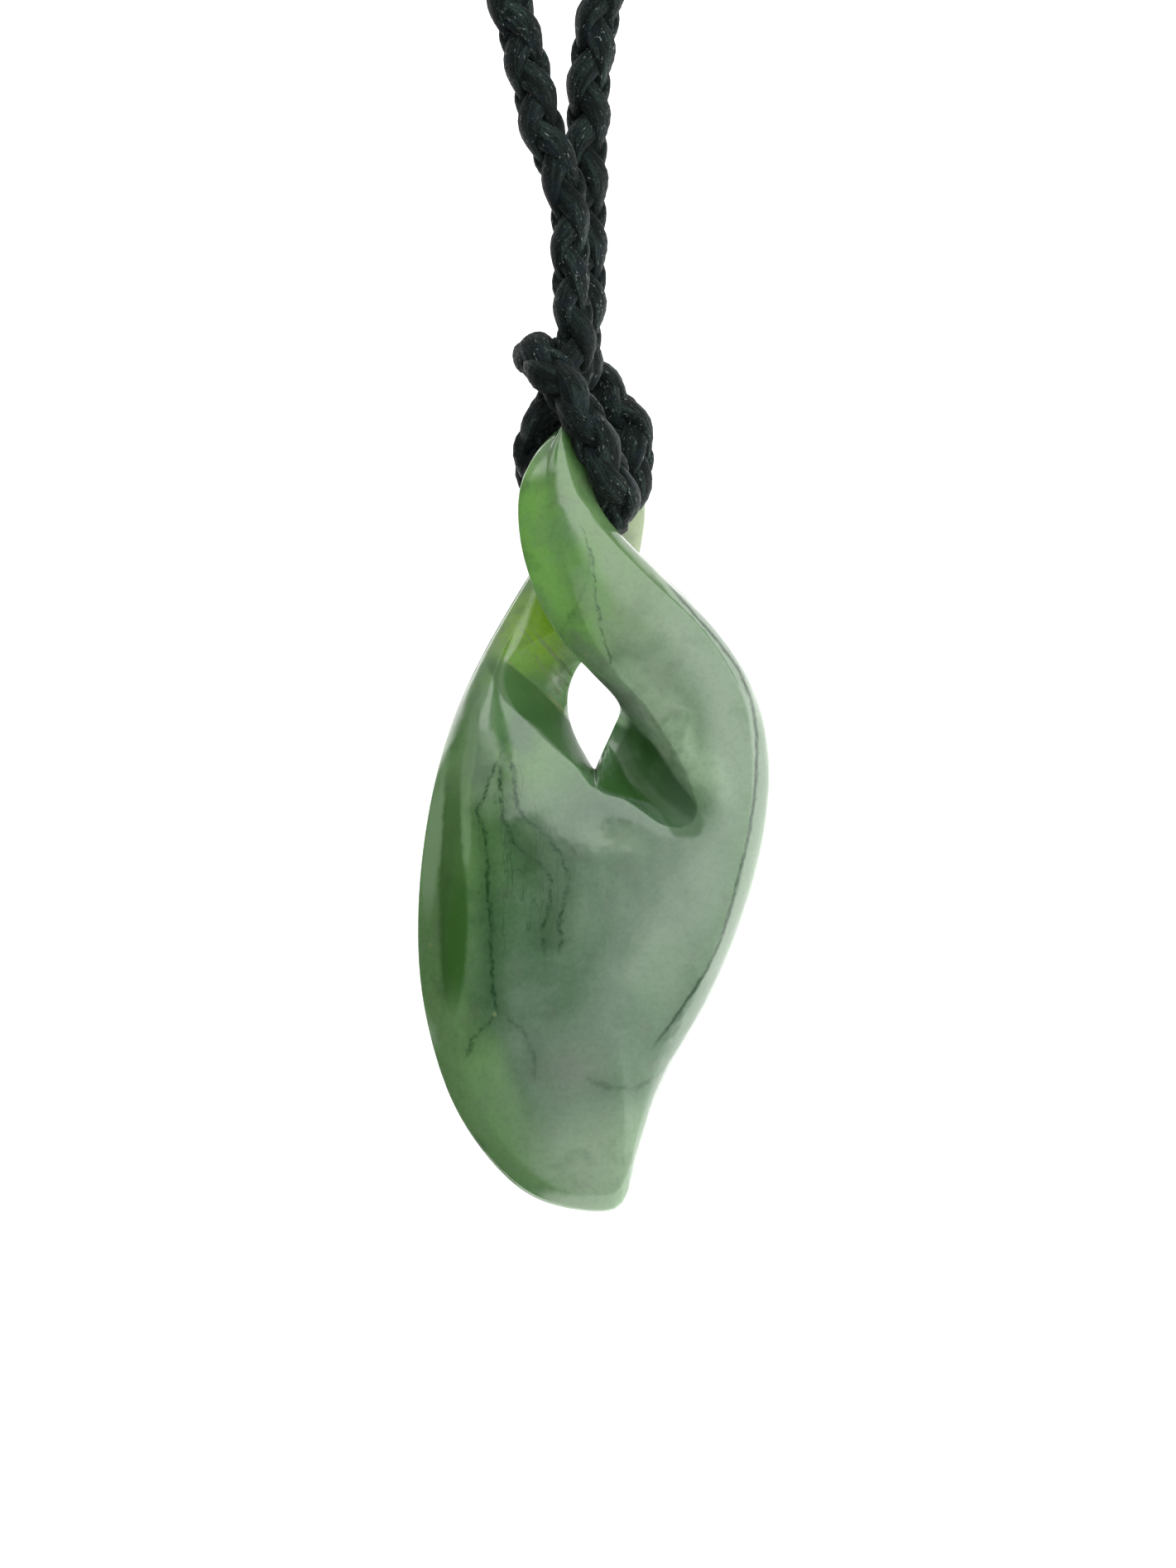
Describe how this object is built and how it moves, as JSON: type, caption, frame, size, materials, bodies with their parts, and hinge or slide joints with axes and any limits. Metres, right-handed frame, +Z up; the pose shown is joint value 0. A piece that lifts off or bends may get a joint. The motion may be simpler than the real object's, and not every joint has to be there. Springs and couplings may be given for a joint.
{
  "type": "greenstone twist pendant on a braided cord",
  "caption": "Single-twist pendant carved from polished green nephrite, held by a cow hitch on a closed black braided neck cord.",
  "frame": {"origin": "under side of the bound join at the nape, where the closed loop rests on a neck or a peg; everything hangs below it", "axes": "+Z up, -Y towards the viewer of the picture, +X to the viewer's right; the stone hangs 298 mm below with its broad face to -Y"},
  "size_m": [0.1213, 0.0125, 0.3524],
  "materials": {
    "greenstone": "hand polished, translucent, veined",
    "braided_cord": "waxed four-strand round braid",
    "whipping_thread": "waxed thread, tightly bound"
  },
  "bodies": {
    "root": {"greenstone_twist": "greenstone", "hitch": "braided_cord", "neck_cord_left": "braided_cord", "neck_cord_right": "braided_cord", "nape_whipping": "whipping_thread"}
  },
  "joints": []
}
